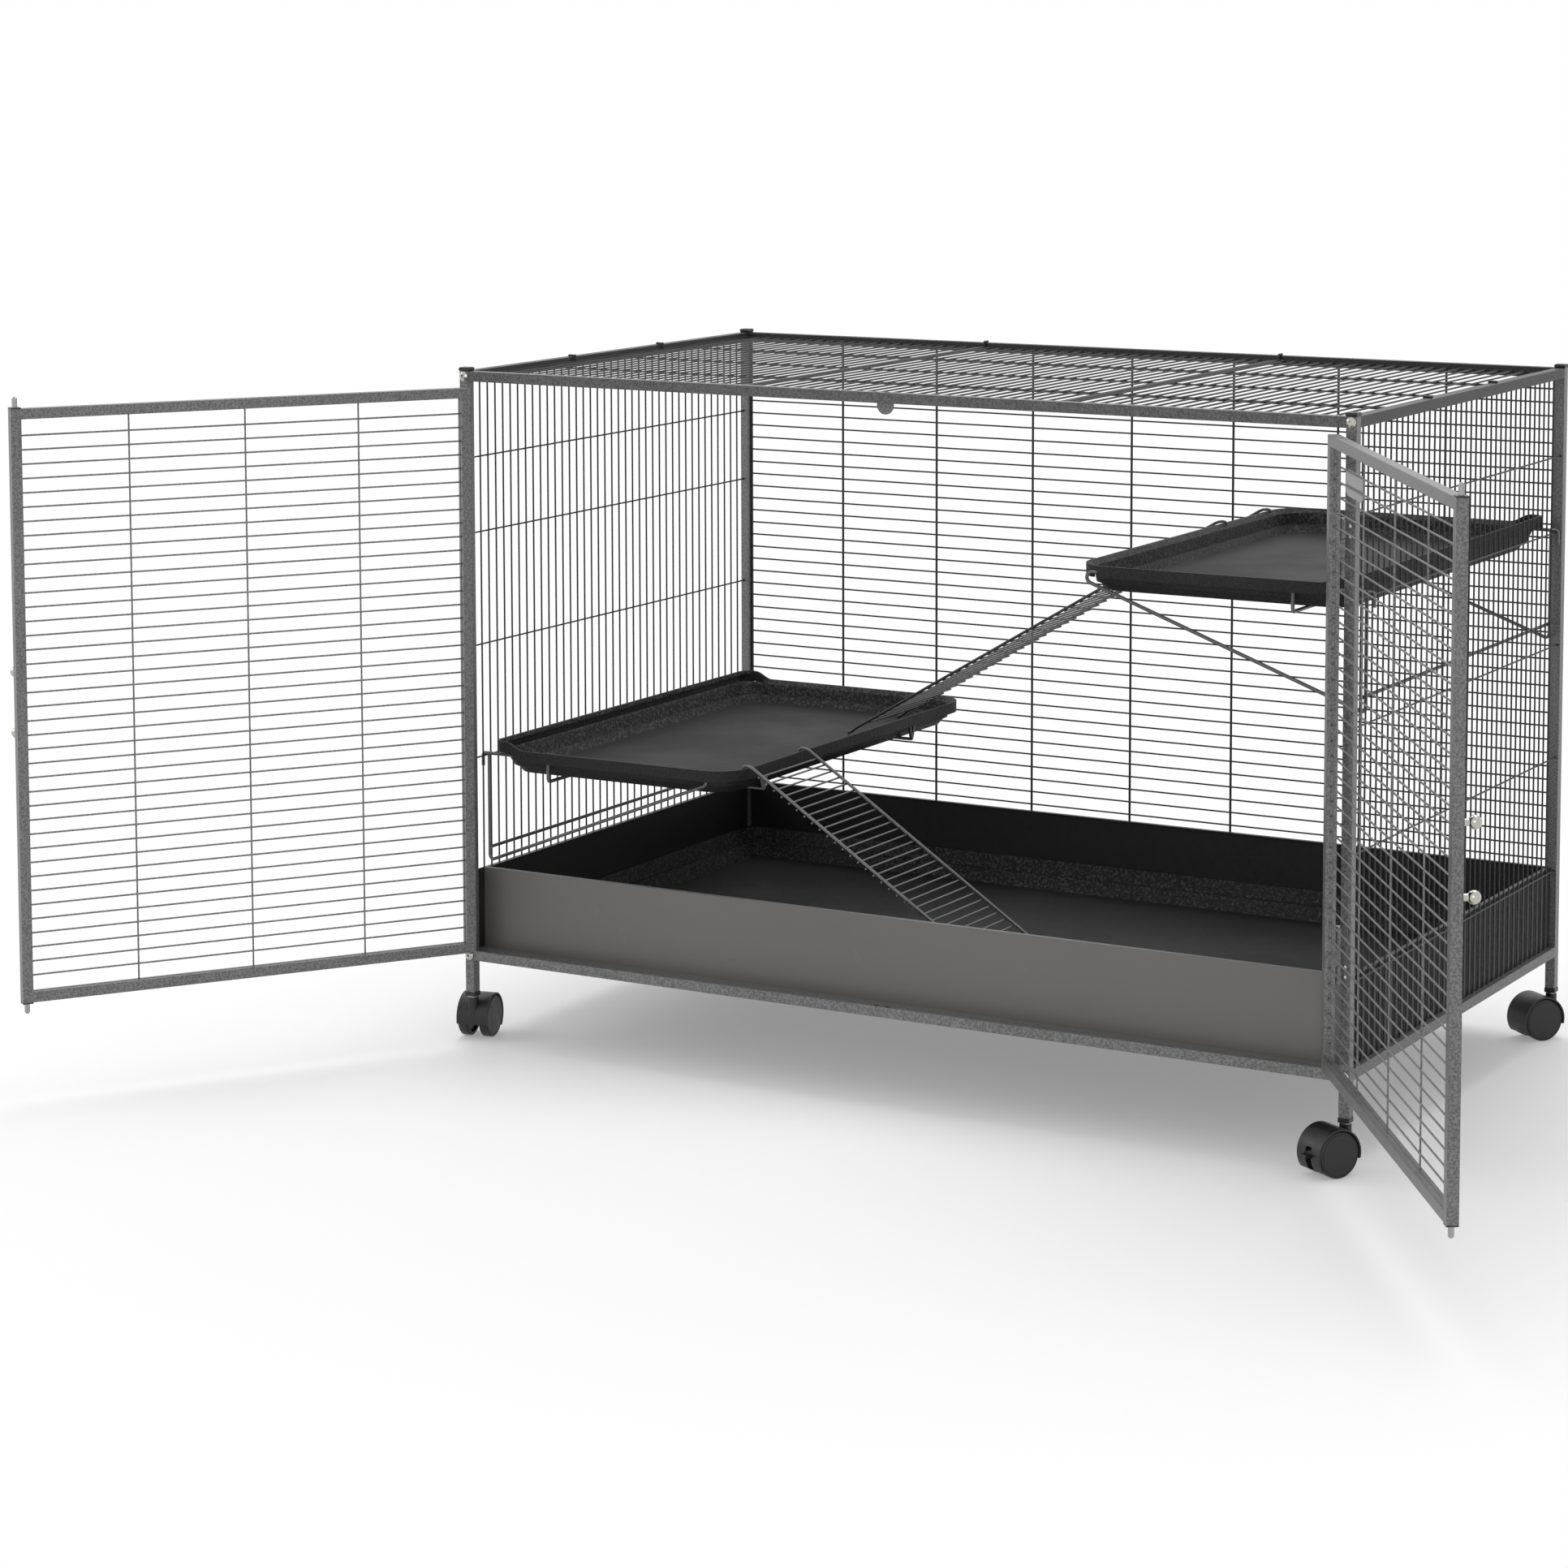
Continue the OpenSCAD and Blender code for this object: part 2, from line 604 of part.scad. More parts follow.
// Outside of the pan above its ledge
module pan_upper() {
    stage([[slope_in - skin, slope_in - skin, ledge_z - tray_wall, wall_r + 10, floor_r],
           [knee_in - skin, knee_in - skin, knee_z, wall_r, tray_r - 6],
           [knee_in - skin, knee_wall_in - skin, knee_z + wall_lift, wall_r, tray_r - 6]]);
}
module platform(z, reach) {
    color(black) translate([0, 0, z - tray_h]) difference() {
        union() {
            intersection() {
                linear_extrude(tray_h + wall_lift) tray_outline(0, 0, wall_r, tray_r);
                slice(fall_at(pan_h), fall_at(tray_h));
            }
            stage([[floor_in - 3.5, floor_in - 3.5, 0, wall_r + 8, floor_r],
                   [ledge_in - 2.7, ledge_in - 2.7, ledge_z - tray_wall + eps, wall_r + 10, floor_r]]);
            pan_upper();
        }
        // inside of the pan: floor to ledge, ledge to knee, knee to rim
        stage([[floor_in, floor_in, tray_wall, wall_r + 6, floor_r - 2],
               [ledge_in, ledge_in, ledge_z, wall_r + 10, floor_r]]);
        stage([[slope_in, slope_in, ledge_z - eps, wall_r + 8, floor_r],
               [knee_in, knee_wall_in, knee_z, wall_r + 2, tray_r - 6]]);
        stage([[knee_in, knee_wall_in, knee_z - eps, wall_r + 2, tray_r - 6],
               [rim_top_w, rim_top_w + knee_wall_in / 3, tray_h, wall_r, tray_r - 3],
               [rim_top_w, rim_top_w, tray_h + wall_lift, wall_r - 3, tray_r - 3]]);
        // hollow of the skirt that the arms of the bracket lie in
        difference() {
            intersection() {
                linear_extrude(tray_h + wall_lift)
                    tray_outline(tray_wall, tray_wall, wall_r - tray_wall, tray_r - tray_wall);
                slice([[-1, pan_h - 1], [tray_w + 1, pan_h - 1]], fall_at(knee_z));
            }
            pan_upper();
        }
        // slots in the inner corners for arms that reach past the skirt
        if (reach < tray_r / 2)
            for (y = [console_in, tray_d - console_in])
                translate([tray_w - tray_r, y - bracket_d / 2 - arm_room, pan_h - 1])
                    cube([tray_r + 1, bracket_d + 2 * arm_room, knee_z - pan_h + 1]);
    }
}
left_rim = row_z[left_row] + rim_above_row;
right_rim = row_z[right_row] + rim_above_row;
tray_x = wire_in_x - tray_off;
left_tray_y = left_console - console_in;
right_tray_y = right_console - console_in;
module left_platform() {
    translate([-tray_x, left_tray_y, 0]) platform(left_rim, left_reach);
}
module right_platform() {
    translate([tray_x, right_tray_y, 0]) mirror([1, 0, 0]) platform(right_rim, right_reach);
}

// Bracket in its own place: x is the distance from the middle of the wall wires inward,
// y starts at the front console, z is 0 at the middle of the wire that carries it
wall_x = wire_d / 2 + bracket_d / 2 + 0.2;
hook_x = -(row_x - post_x) - row_d / 2 - bracket_d / 2 - 0.4;
hook_r = 3;
hook_drop = 16;
edge_x = wire_d / 2 + tray_off + tray_w;
loop_r = 6.5;
function console_path(y, far) = concat(
    [[hook_x, y, arm_z - hook_drop]],
    bend(hook_x + hook_r, arm_z - hook_r, hook_r, 180, 90, y, 3),
    bend(far - loop_r, arm_z - loop_r, loop_r, 90, -68, y, 5),
    [[wall_x + 9, y, arm_z - bracket_drop + 1.6]],
    bend(wall_x + 5, arm_z - bracket_drop + 5, 5, -90, -180, y, 3),
    [[wall_x, y, arm_z - 1]]);
// Bearer wire across the pan, and the cradle wire below both bearers, turned up to the arms
bearer_z = rim_above_row - rim_h - pan_h - bracket_d / 2 - 0.1;
bearer_x = 70;
cradle_z = bearer_z - bracket_d + 0.3;
bend_r = 4;
function cradle_path() = [
    [cradle_x, 0, arm_z - 1], [cradle_x, 0, cradle_z + bend_r],
    [cradle_x, 0.3 * bend_r, cradle_z + 0.3 * bend_r], [cradle_x, bend_r, cradle_z],
    [cradle_x, console_span - bend_r, cradle_z],
    [cradle_x, console_span - 0.3 * bend_r, cradle_z + 0.3 * bend_r],
    [cradle_x, console_span, cradle_z + bend_r], [cradle_x, console_span, arm_z - 1]];
// V at the outer end of a bearer wire, its legs up inside the rim
fork_in = console_in;
fork_w = 8.5;
fork_top = 2;
function fork_path(y) = [
    [edge_x - fork_in, y - fork_w, fork_top], [edge_x - fork_in, y - 0.8, bearer_z + 0.6],
    [edge_x - fork_in, y + 0.8, bearer_z + 0.6], [edge_x - fork_in, y + fork_w, fork_top]];
cross_up = 16;
module bracket(reach) {
    far = edge_x - reach;
    color(black) {
        for (y = [0, console_span]) bent_wire(console_path(y, far), bracket_d);
        bent_wire(cradle_path(), bracket_d, [1, 0, 0]);
        for (y = [bearer_in - console_in, bearer_in + bearer_gap - console_in]) {
            bar_x(bearer_x, edge_x - fork_in, y, bearer_z, bracket_d);
            bent_wire(fork_path(y), bracket_d, [1, 0, 0]);
        }
        bar_y(wall_x + bracket_d - 0.6, -bracket_d, console_span + bracket_d,
              arm_z - bracket_drop + cross_up, bracket_d);
    }
}
module left_bracket() {
    translate([-post_x, left_console, row_z[left_row]]) bracket(left_reach);
}
module right_bracket() {
    translate([post_x, right_console, row_z[right_row]]) mirror([1, 0, 0]) bracket(right_reach);
}

// ---------------------------------------------------------------- ramps
// A ramp hooked over the rim at x = 0, z = 0 that falls by drop over its run
rung_out = 2;
module ramp(run, drop) {
    r = ramp_rod_d / 2;
    top = [7, r - 1.6];
    foot = [run - 12, r + seat + 7 - drop];
    way = unit(foot - top);
    under = (ramp_rod_d + rung_d) / 2 - 0.5;
    n = floor((norm(foot - top) - 12) / rung_pitch);
    path = [
        [-8, 0, r - 2.3 + seat], [-5.5, 0, r + 0.3 + seat], [-2, 0, r + 0.7 + seat], [2.5, 0, r + seat],
        [top[0], 0, top[1]], [foot[0], 0, foot[1]],
        [run - 4, 0, r + seat + 1 - drop], [run, 0, r + seat - drop]];
    color(frame_grey) {
        for (y = [r, ramp_w - r]) translate([0, y, 0]) bent_wire(path, ramp_rod_d);
        for (k = [1 : n])
            let (c = top + way * k * rung_pitch + under * [way[1], -way[0]])
            translate([c[0], -rung_out, c[1]]) rotate([-90, 0, 0])
                cylinder(d = rung_d, h = ramp_w + 2 * rung_out, $fn = 8);
    }
}
module low_ramp() {
    translate([-tray_x + tray_w, low_ramp_y, left_rim])
        ramp(low_ramp_run, left_rim - rail_top - base_t);
}
module high_ramp() {
    translate([tray_x - tray_w, high_ramp_y, right_rim]) mirror([1, 0, 0])
        ramp(2 * (tray_x - tray_w) + high_ramp_land, right_rim - left_rim + tray_h - tray_wall);
}

// ---------------------------------------------------------------- doors
// Places a door part: u runs from the hinge edge to the lock edge, v from the outer face
// to the inner face
module on_door(s) {
    open = s < 0 ? left_open : right_open;
    translate([s * axis_x, axis_y, 0]) rotate([0, 0, s * open]) mirror([s > 0 ? 1 : 0, 0, 0])
        translate([edge_in, axis_out, 0]) children();
}
door_pitch_n = floor((door_h - 2 * tube - 20) / wire_pitch);
function door_bar_u(k) = door_w / 2 + (k - (door_bars - 1) / 2) * door_bar_pitch;
slot_w = knob_stem_d + 0.8;
seat_h = 4;
module door_frame() {
    w = door_w;
    difference() {
        translate([0, 0, door_low]) cube([w, tube, door_h]);
        translate([tube, -1, door_low + tube]) cube([w - 2 * tube, tube + 2, door_h - 2 * tube]);
        // bore of the tubes
        for (u = [tube_wall, w - tube + tube_wall])
            translate([u, tube_wall, door_low + (u > w / 2 ? -1 : tube_wall)])
                cube([bore_w, bore_w, door_h + (u > w / 2 ? 2 : -2 * tube_wall)]);
        for (z = [door_low + tube_wall, door_top - tube + tube_wall])
            translate([tube_wall, tube_wall, z]) cube([w - 2 * tube_wall, bore_w, bore_w]);
        // grooves that the wire ends sit in
        translate([tube - groove_t, (tube - groove_w) / 2, door_low + tube - groove_t])
            cube([w - 2 * tube + 2 * groove_t, groove_w, door_h - 2 * tube + 2 * groove_t]);
        // slots in the outer face for the knob stems
        for (s = [-1, 1])
            translate([rod_u, -1, knob_z + s * knob_gap / 2]) {
                for (z = [0, -s * rod_travel])
                    translate([0, 0, z]) rotate([-90, 0, 0]) cylinder(d = slot_w, h = tube_wall + 2);
                translate([-slot_w / 2, 0, s > 0 ? -rod_travel : 0])
                    cube([slot_w, tube_wall + 2, rod_travel]);
            }
    }
    // spring seat inside the lock stile
    translate([rod_u, tube / 2, knob_z]) cube([tube - tube_wall, tube - tube_wall, seat_h], center = true);
}
module door(s) {
    color(frame_grey) on_door(s) {
        door_frame();
        for (k = [0 : door_pitch_n - 1])
            bar_x(tube - groove_t - 0.3, door_w - tube + groove_t + 0.3, tube / 2,
                  (door_low + door_top) / 2 + (k - (door_pitch_n - 1) / 2) * wire_pitch, wire_d);
        for (k = [0 : door_bars - 1])
            bar_z(door_bar_u(k), tube / 2 - wire_d / 2 - row_d / 2 - 0.05,
                  door_low + tube - 0.5, door_top - tube + 0.5, row_d);
    }
}
module left_door() { door(-1); }
module right_door() { door(1); }

module door_plugs(s) {
    b = bore_w - 0.2;
    color(black) on_door(s) difference() {
        for (z = [door_low - plug_h, door_top]) {
            translate([door_w - tube, 0, z]) cube([tube, tube, plug_h]);
            translate([door_w - tube / 2 - b / 2, tube / 2 - b / 2, z > knob_z ? z - plug_in : z])
                cube([b, b, plug_h + plug_in]);
        }
        for (z = [door_low, door_top])
            translate([rod_u, tube / 2, z]) cylinder(d = rod_d + 0.12, h = 4 * plug_in, center = true);
    }
}
module left_door_plugs() { door_plugs(-1); }
module right_door_plugs() { door_plugs(1); }

// ---------------------------------------------------------------- hinges
hinge_z = [door_low + hinge_inset, door_top - hinge_inset + 2];
knuckle_h = (barrel_h - 2 * knuckle_gap) / 3;
leaf_w = 9;
screw_x = open_x + 5.6;
screw_off = 18;
screw_half = 5.5;
screw_core_d = 2.9;
function screw_z(z) = z + (z > knob_z ? screw_off : -screw_off);
module frame_hinges(s) {
    color(frame_grey) for (z = hinge_z) difference() {
        union() {
            for (k = [-1, 1]) translate([0, axis_y, z + k * (knuckle_h + knuckle_gap) - knuckle_h / 2]) {
                translate([s * axis_x, 0, 0]) cylinder(d = barrel_d, h = knuckle_h);
                translate([s > 0 ? axis_x : -axis_x - barrel_d / 2, 0, 0])
                    cube([barrel_d / 2, axis_out - face_gap, knuckle_h]);
            }
            translate([s > 0 ? open_x : -open_x - leaf_w, -hd - leaf_t, z - barrel_h / 2])
                cube([leaf_w, leaf_t - face_gap, barrel_h]);
        }
        translate([s * axis_x, axis_y, z - barrel_h]) cylinder(d = hinge_pin_d, h = 2 * barrel_h);
        for (k = [-1, 1])
            translate([s * screw_x, -hd + 1, screw_z(z) + k * screw_half]) rotate([90, 0, 0])
                cylinder(d = screw_core_d + 0.1, h = barrel_d);
        // room for the door's knuckle
        translate([s * axis_x, axis_y, z - knuckle_h / 2 - knuckle_gap])
            cylinder(d = barrel_d + 0.8, h = knuckle_h + 2 * knuckle_gap);
    }
}
module left_frame_hinges() { frame_hinges(-1); }
module right_frame_hinges() { frame_hinges(1); }

module door_hinges(s) {
    color(frame_grey) on_door(s) for (z = hinge_z) translate([-edge_in, -axis_out, z - knuckle_h / 2])
        difference() {
            union() {
                cylinder(d = barrel_d, h = knuckle_h);
                cube([barrel_d / 2, axis_out - face_gap, knuckle_h]);
                translate([1 + edge_in, axis_out - leaf_t, 0])
                    cube([leaf_w + 1, leaf_t - face_gap, knuckle_h]);
            }
            translate([0, 0, -1]) cylinder(r = hinge_pin_d / 2 + hinge_fit, h = knuckle_h + 2);
        }
}
module left_door_hinges() { door_hinges(-1); }
module right_door_hinges() { door_hinges(1); }

module hinge_pins() {
    color(silver) for (s = [-1, 1], z = hinge_z) translate([s * axis_x, axis_y, z - barrel_h / 2 - 0.5]) {
        cylinder(d = hinge_pin_d, h = barrel_h + 1);
        translate([0, 0, barrel_h + 0.5]) cylinder(d = hinge_pin_d + 2, h = 1.5);
    }
}
module hinge_screws() {
    color(silver) for (s = [-1, 1], z = hinge_z, k = [-1, 1])
        translate([s * screw_x, -hd - leaf_t, screw_z(z) + k * screw_half]) rotate([90, 0, 0]) {
            intersection() {
                translate([0, 0, -screw_d * 0.3]) sphere(d = screw_d * 1.2);
                cylinder(d = screw_d, h = screw_d);
            }
            translate([0, 0, -leaf_t - tube_wall - 1])
                cylinder(d = screw_core_d, h = leaf_t + tube_wall + 1.2);
        }
}

// ---------------------------------------------------------------- latches
tip_h = 1.8;
knob_pin_d = 2.9;
rod_end = knob_stem_d / 2 + 4;
spring_room = (knob_gap - seat_h) / 2 - rod_end;
module latch_rod(s, up) {
    z_knob = knob_z + up * knob_gap / 2;
    z_tip = up > 0 ? door_top + rod_out - tip_h : door_low - rod_out + tip_h;
    z_in = z_knob - up * rod_end;
    color(silver) on_door(s) translate([rod_u, tube / 2, 0]) difference() {
        union() {
            translate([0, 0, min(z_in, z_tip)]) cylinder(d = rod_d, h = abs(z_tip - z_in));
            translate([0, 0, z_tip]) mirror([0, 0, up > 0 ? 0 : 1])
                cylinder(d1 = rod_d, d2 = rod_d - 2.4, h = tip_h);
        }
        translate([0, 1, z_knob]) rotate([90, 0, 0]) cylinder(d = knob_pin_d + 0.1, h = rod_d);
    }
}
module left_upper_latch_rod() { latch_rod(-1, 1); }
module left_lower_latch_rod() { latch_rod(-1, -1); }
module right_upper_latch_rod() { latch_rod(1, 1); }
module right_lower_latch_rod() { latch_rod(1, -1); }

module knob(s, up) {
    reach = tube / 2 + knob_stem;
    color(silver) on_door(s) translate([rod_u, tube / 2, knob_z + up * knob_gap / 2]) rotate([90, 0, 0]) {
        translate([0, 0, rod_d / 2 + 0.05]) cylinder(d = knob_stem_d, h = reach - rod_d / 2 + 1);
        cylinder(d = knob_pin_d, h = reach);
        translate([0, 0, reach + knob_d / 2 - 1]) sphere(d = knob_d);
    }
}
module left_upper_knob() { knob(-1, 1); }
module left_lower_knob() { knob(-1, -1); }
module right_upper_knob() { knob(1, 1); }
module right_lower_knob() { knob(1, -1); }

// Open coil between the spring seat and the inner end of a rod
function coil_points(r, turns, h) =
    [for (i = [0 : turns * 8]) let (a = i * 45) [r * cos(a), r * sin(a), h * i / (turns * 8)]];
module coil(r, turns, h, d, n = 6) {
    p = coil_points(r, turns, h);
    pts = [for (i = [0 : len(p) - 1]) each
        let (t = tangent(p, i), a = unit([p[i][0], p[i][1], 0]), b = cross(t, a))
        [for (k = [0 : n - 1]) p[i] + d / 2 * (a * cos(360 * k / n) + b * sin(360 * k / n))]];
    skin_rings(pts, len(p), n);
}
module spring(s, up) {
    color(silver) on_door(s) translate([rod_u, tube / 2, knob_z + up * seat_h / 2])
        mirror([0, 0, up > 0 ? 0 : 1]) translate([0, 0, spring_wire / 2 + 0.1])
            coil(rod_d / 2 - 0.3, spring_turns, spring_room - spring_wire - 0.4, spring_wire);
}
module left_upper_spring() { spring(-1, 1); }
module left_lower_spring() { spring(-1, -1); }
module right_upper_spring() { spring(1, 1); }
module right_lower_spring() { spring(1, -1); }

// Plain plate behind the wires of the right door, beside its first upright wire
plate_w = 81;
plate_h = 27.5;
plate_t = 1.6;
plate_cut = [10, 4];
plate_drop = 30;
plate_gap = 0.1;
plate_u = door_bar_u(0) - row_d / 2 - plate_gap - plate_w;
module door_plate() {
    color([0.6, 0.6, 0.62]) on_door(1)
        translate([plate_u, tube / 2 - wire_d / 2 - plate_gap - plate_t, door_top - plate_drop])
            rotate([-90, 0, 0]) linear_extrude(plate_t) polygon([
                [plate_cut[0], 0], [plate_w - plate_cut[0], 0], [plate_w, plate_cut[1]],
                [plate_w, plate_h - plate_cut[1]], [plate_w - plate_cut[0], plate_h],
                [plate_cut[0], plate_h], [0, plate_h - plate_cut[1]], [0, plate_cut[1]]]);
}

// ---------------------------------------------------------------- casters
wheel_r = wheel_d / 2;
hood_in = wheel_r + hood_gap;
hood_r = hood_in + hood_t;
web_w = wheels_w - 2 * wheel_t - 2 * hood_gap;
stem_low = wheel_r + 5;
neck_top = post_low - sock_flange - 2;
lever_w = 9;
lever_x = trail + 17;
lever_z = wheel_r + 3;
corner = [[-1, -1], [1, -1], [1, 1], [-1, 1]];
module at_corner(i) {
    translate([corner[i][0] * post_x, corner[i][1] * post_y, 0]) rotate([0, 0, headings[i]]) children();
}
module caster_stems() {
    color(silver) for (i = [0 : 3]) at_corner(i) {
        translate([0, 0, stem_low])
            cylinder(d = stem_d, h = post_low + sock_in - sock_flange - 4 - stem_low);
        translate([0, 0, neck_top + 0.3]) cylinder(d = neck_d - 1, h = 1.6);
    }
}
// Moulded hood: a drum open over both wheels, with a central web, a neck and open underside
module hood(lever) {
    difference() {
        union() {
            translate([trail, 0, wheel_r]) rotate([90, 0, 0])
                cylinder(r = hood_r, h = wheels_w, center = true);
            translate([0, 0, wheel_r]) cylinder(d = neck_d, h = neck_top - wheel_r);
        }
        for (s = [-1, 1])
            translate([trail, s * (web_w / 2 + wheels_w / 2), wheel_r]) rotate([90, 0, 0])
                cylinder(r = hood_in, h = wheels_w, center = true);
        // open underside, lower at the far side
        translate([trail, 0, wheel_r - 12]) rotate([0, 12, 0])
            translate([-wheel_d, -wheels_w, -wheel_d]) cube([2 * wheel_d, 2 * wheels_w, wheel_d]);
        translate([0, 0, stem_low - 1]) cylinder(r = stem_d / 2 + stem_fit, h = post_low);
        translate([trail, 0, wheel_r]) rotate([90, 0, 0])
            cylinder(r = axle_d / 2 + 0.06, h = wheels_w, center = true);
        if (lever) {
            translate([lever_x - 5, -lever_w / 2 - 0.4, wheel_r - 16]) cube([wheel_d, lever_w + 0.8, 25]);
            translate([lever_x, 0, lever_z]) rotate([90, 0, 0])
                cylinder(r = 1.96, h = wheels_w, center = true);
        }
    }
}
module front_left_hood() { color(black) at_corner(0) hood(true); }
module front_right_hood() { color(black) at_corner(1) hood(true); }
module rear_right_hood() { color(black) at_corner(2) hood(false); }
module rear_left_hood() { color(black) at_corner(3) hood(false); }

// Two wheels pressed on one axle
module wheel_pair() {
    color(black) translate([trail, 0, wheel_r]) rotate([90, 0, 0]) {
        cylinder(d = axle_d, h = wheels_w - 4, center = true);
        for (s = [0, 1]) mirror([0, 0, s]) translate([0, 0, wheels_w / 2 - wheel_t]) difference() {
            union() {
                cylinder(r1 = wheel_r - 1, r2 = wheel_r, h = 1);
                translate([0, 0, 1]) cylinder(r = wheel_r, h = wheel_t - 2.2);
                translate([0, 0, wheel_t - 1.2]) cylinder(r1 = wheel_r, r2 = wheel_r - 1.2, h = 1.2);
            }
            translate([0, 0, wheel_t - 0.5]) difference() {
                cylinder(r = wheel_r - 2.2, h = 1);
                translate([0, 0, -1]) cylinder(r = wheel_r - 2.9, h = 3);
            }
            translate([0, 0, -1]) difference() {
                cylinder(r = wheel_r - 4, h = 4);
                translate([0, 0, -1]) cylinder(r = 7, h = 6);
            }
        }
    }
}
module front_left_wheels() { at_corner(0) wheel_pair(); }
module front_right_wheels() { at_corner(1) wheel_pair(); }
module rear_right_wheels() { at_corner(2) wheel_pair(); }
module rear_left_wheels() { at_corner(3) wheel_pair(); }

// Foot lever of the brake, on two stub pins in the web of the hood
module brake_lever() {
    translate([lever_x, 0, lever_z]) rotate([90, 0, 0]) {
        cylinder(r = 1.9, h = web_w - 1, center = true);
        cylinder(r = 3.4, h = lever_w, center = true);
        translate([0, 0, -lever_w / 2]) linear_extrude(lever_w)
            polygon([[-1, -3.2], [8, -4.5], [15, -6], [18.5, -4.2],
                [18, -1.6], [12, -0.6], [6, 3], [0, 3.3]]);
    }
}
module front_left_brake() { color(black) at_corner(0) brake_lever(); }
module front_right_brake() { color(black) at_corner(1) brake_lever(); }

front_left_post();
front_right_post();
rear_left_post();
rear_right_post();
post_caps();
leg_sockets();
front_top_rail();
door_stop();
front_bottom_rail();
rear_panel();
left_panel();
right_panel();
top_panel();
frame_bolts();
front_guard();
rear_guard();
left_guard();
right_guard();
floor_tray();
left_platform();
right_platform();
left_bracket();
right_bracket();
low_ramp();
high_ramp();
left_door();
right_door();
left_door_plugs();
right_door_plugs();
left_frame_hinges();
right_frame_hinges();
left_door_hinges();
right_door_hinges();
hinge_pins();
hinge_screws();
left_upper_latch_rod();
left_lower_latch_rod();
right_upper_latch_rod();
right_lower_latch_rod();
left_upper_knob();
left_lower_knob();
right_upper_knob();
right_lower_knob();
left_upper_spring();
left_lower_spring();
right_upper_spring();
right_lower_spring();
door_plate();
caster_stems();
front_left_hood();
front_right_hood();
rear_right_hood();
rear_left_hood();
front_left_wheels();
front_right_wheels();
rear_right_wheels();
rear_left_wheels();
front_left_brake();
front_right_brake();
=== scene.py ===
"""Ferret cage: paint, wire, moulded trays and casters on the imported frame, in a pale studio."""

import json
import math

import bpy
from mathutils import Matrix, Vector

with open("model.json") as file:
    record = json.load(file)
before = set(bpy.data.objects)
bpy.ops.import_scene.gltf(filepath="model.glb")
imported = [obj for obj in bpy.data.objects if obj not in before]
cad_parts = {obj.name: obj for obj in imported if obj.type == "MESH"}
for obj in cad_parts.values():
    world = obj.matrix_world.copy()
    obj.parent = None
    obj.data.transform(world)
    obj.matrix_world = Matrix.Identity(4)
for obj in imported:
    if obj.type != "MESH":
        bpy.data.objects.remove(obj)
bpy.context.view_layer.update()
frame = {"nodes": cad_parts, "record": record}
NODES = frame["nodes"]

# ------------------------------------------------------------------ camera
PHOTO_PX = 1932
FOCAL_PX = 4934.8
AXIS_PX_Y = 500
CAMERA_AT = (2.1586, -4.2931, 1.2492)
YAW = 0.52359
PITCH = 0.09821
ROLL = -0.00248
SENSOR = 36.0


def make_camera():
    data = bpy.data.cameras.new("camera")
    data.sensor_width = SENSOR
    data.lens = FOCAL_PX / PHOTO_PX * SENSOR
    data.shift_y = (AXIS_PX_Y - PHOTO_PX / 2) / PHOTO_PX
    data.clip_end = 60
    camera = bpy.data.objects.new("camera", data)
    bpy.context.scene.collection.objects.link(camera)
    turn = Matrix.Rotation(YAW, 4, "Z") @ Matrix.Rotation(math.pi / 2 - PITCH, 4, "X")
    camera.matrix_world = Matrix.Translation(CAMERA_AT) @ turn @ Matrix.Rotation(ROLL, 4, "Z")
    bpy.context.scene.camera = camera


# ------------------------------------------------------------------ shader helpers
def grey(level):
    """Linear colour of a grey given as its 0-255 display level."""
    value = level / 255
    linear = value / 12.92 if value <= 0.04045 else ((value + 0.055) / 1.055) ** 2.4
    return (linear, linear, linear, 1.0)


def tint(red, green, blue):
    return (grey(red)[0], grey(green)[0], grey(blue)[0], 1.0)


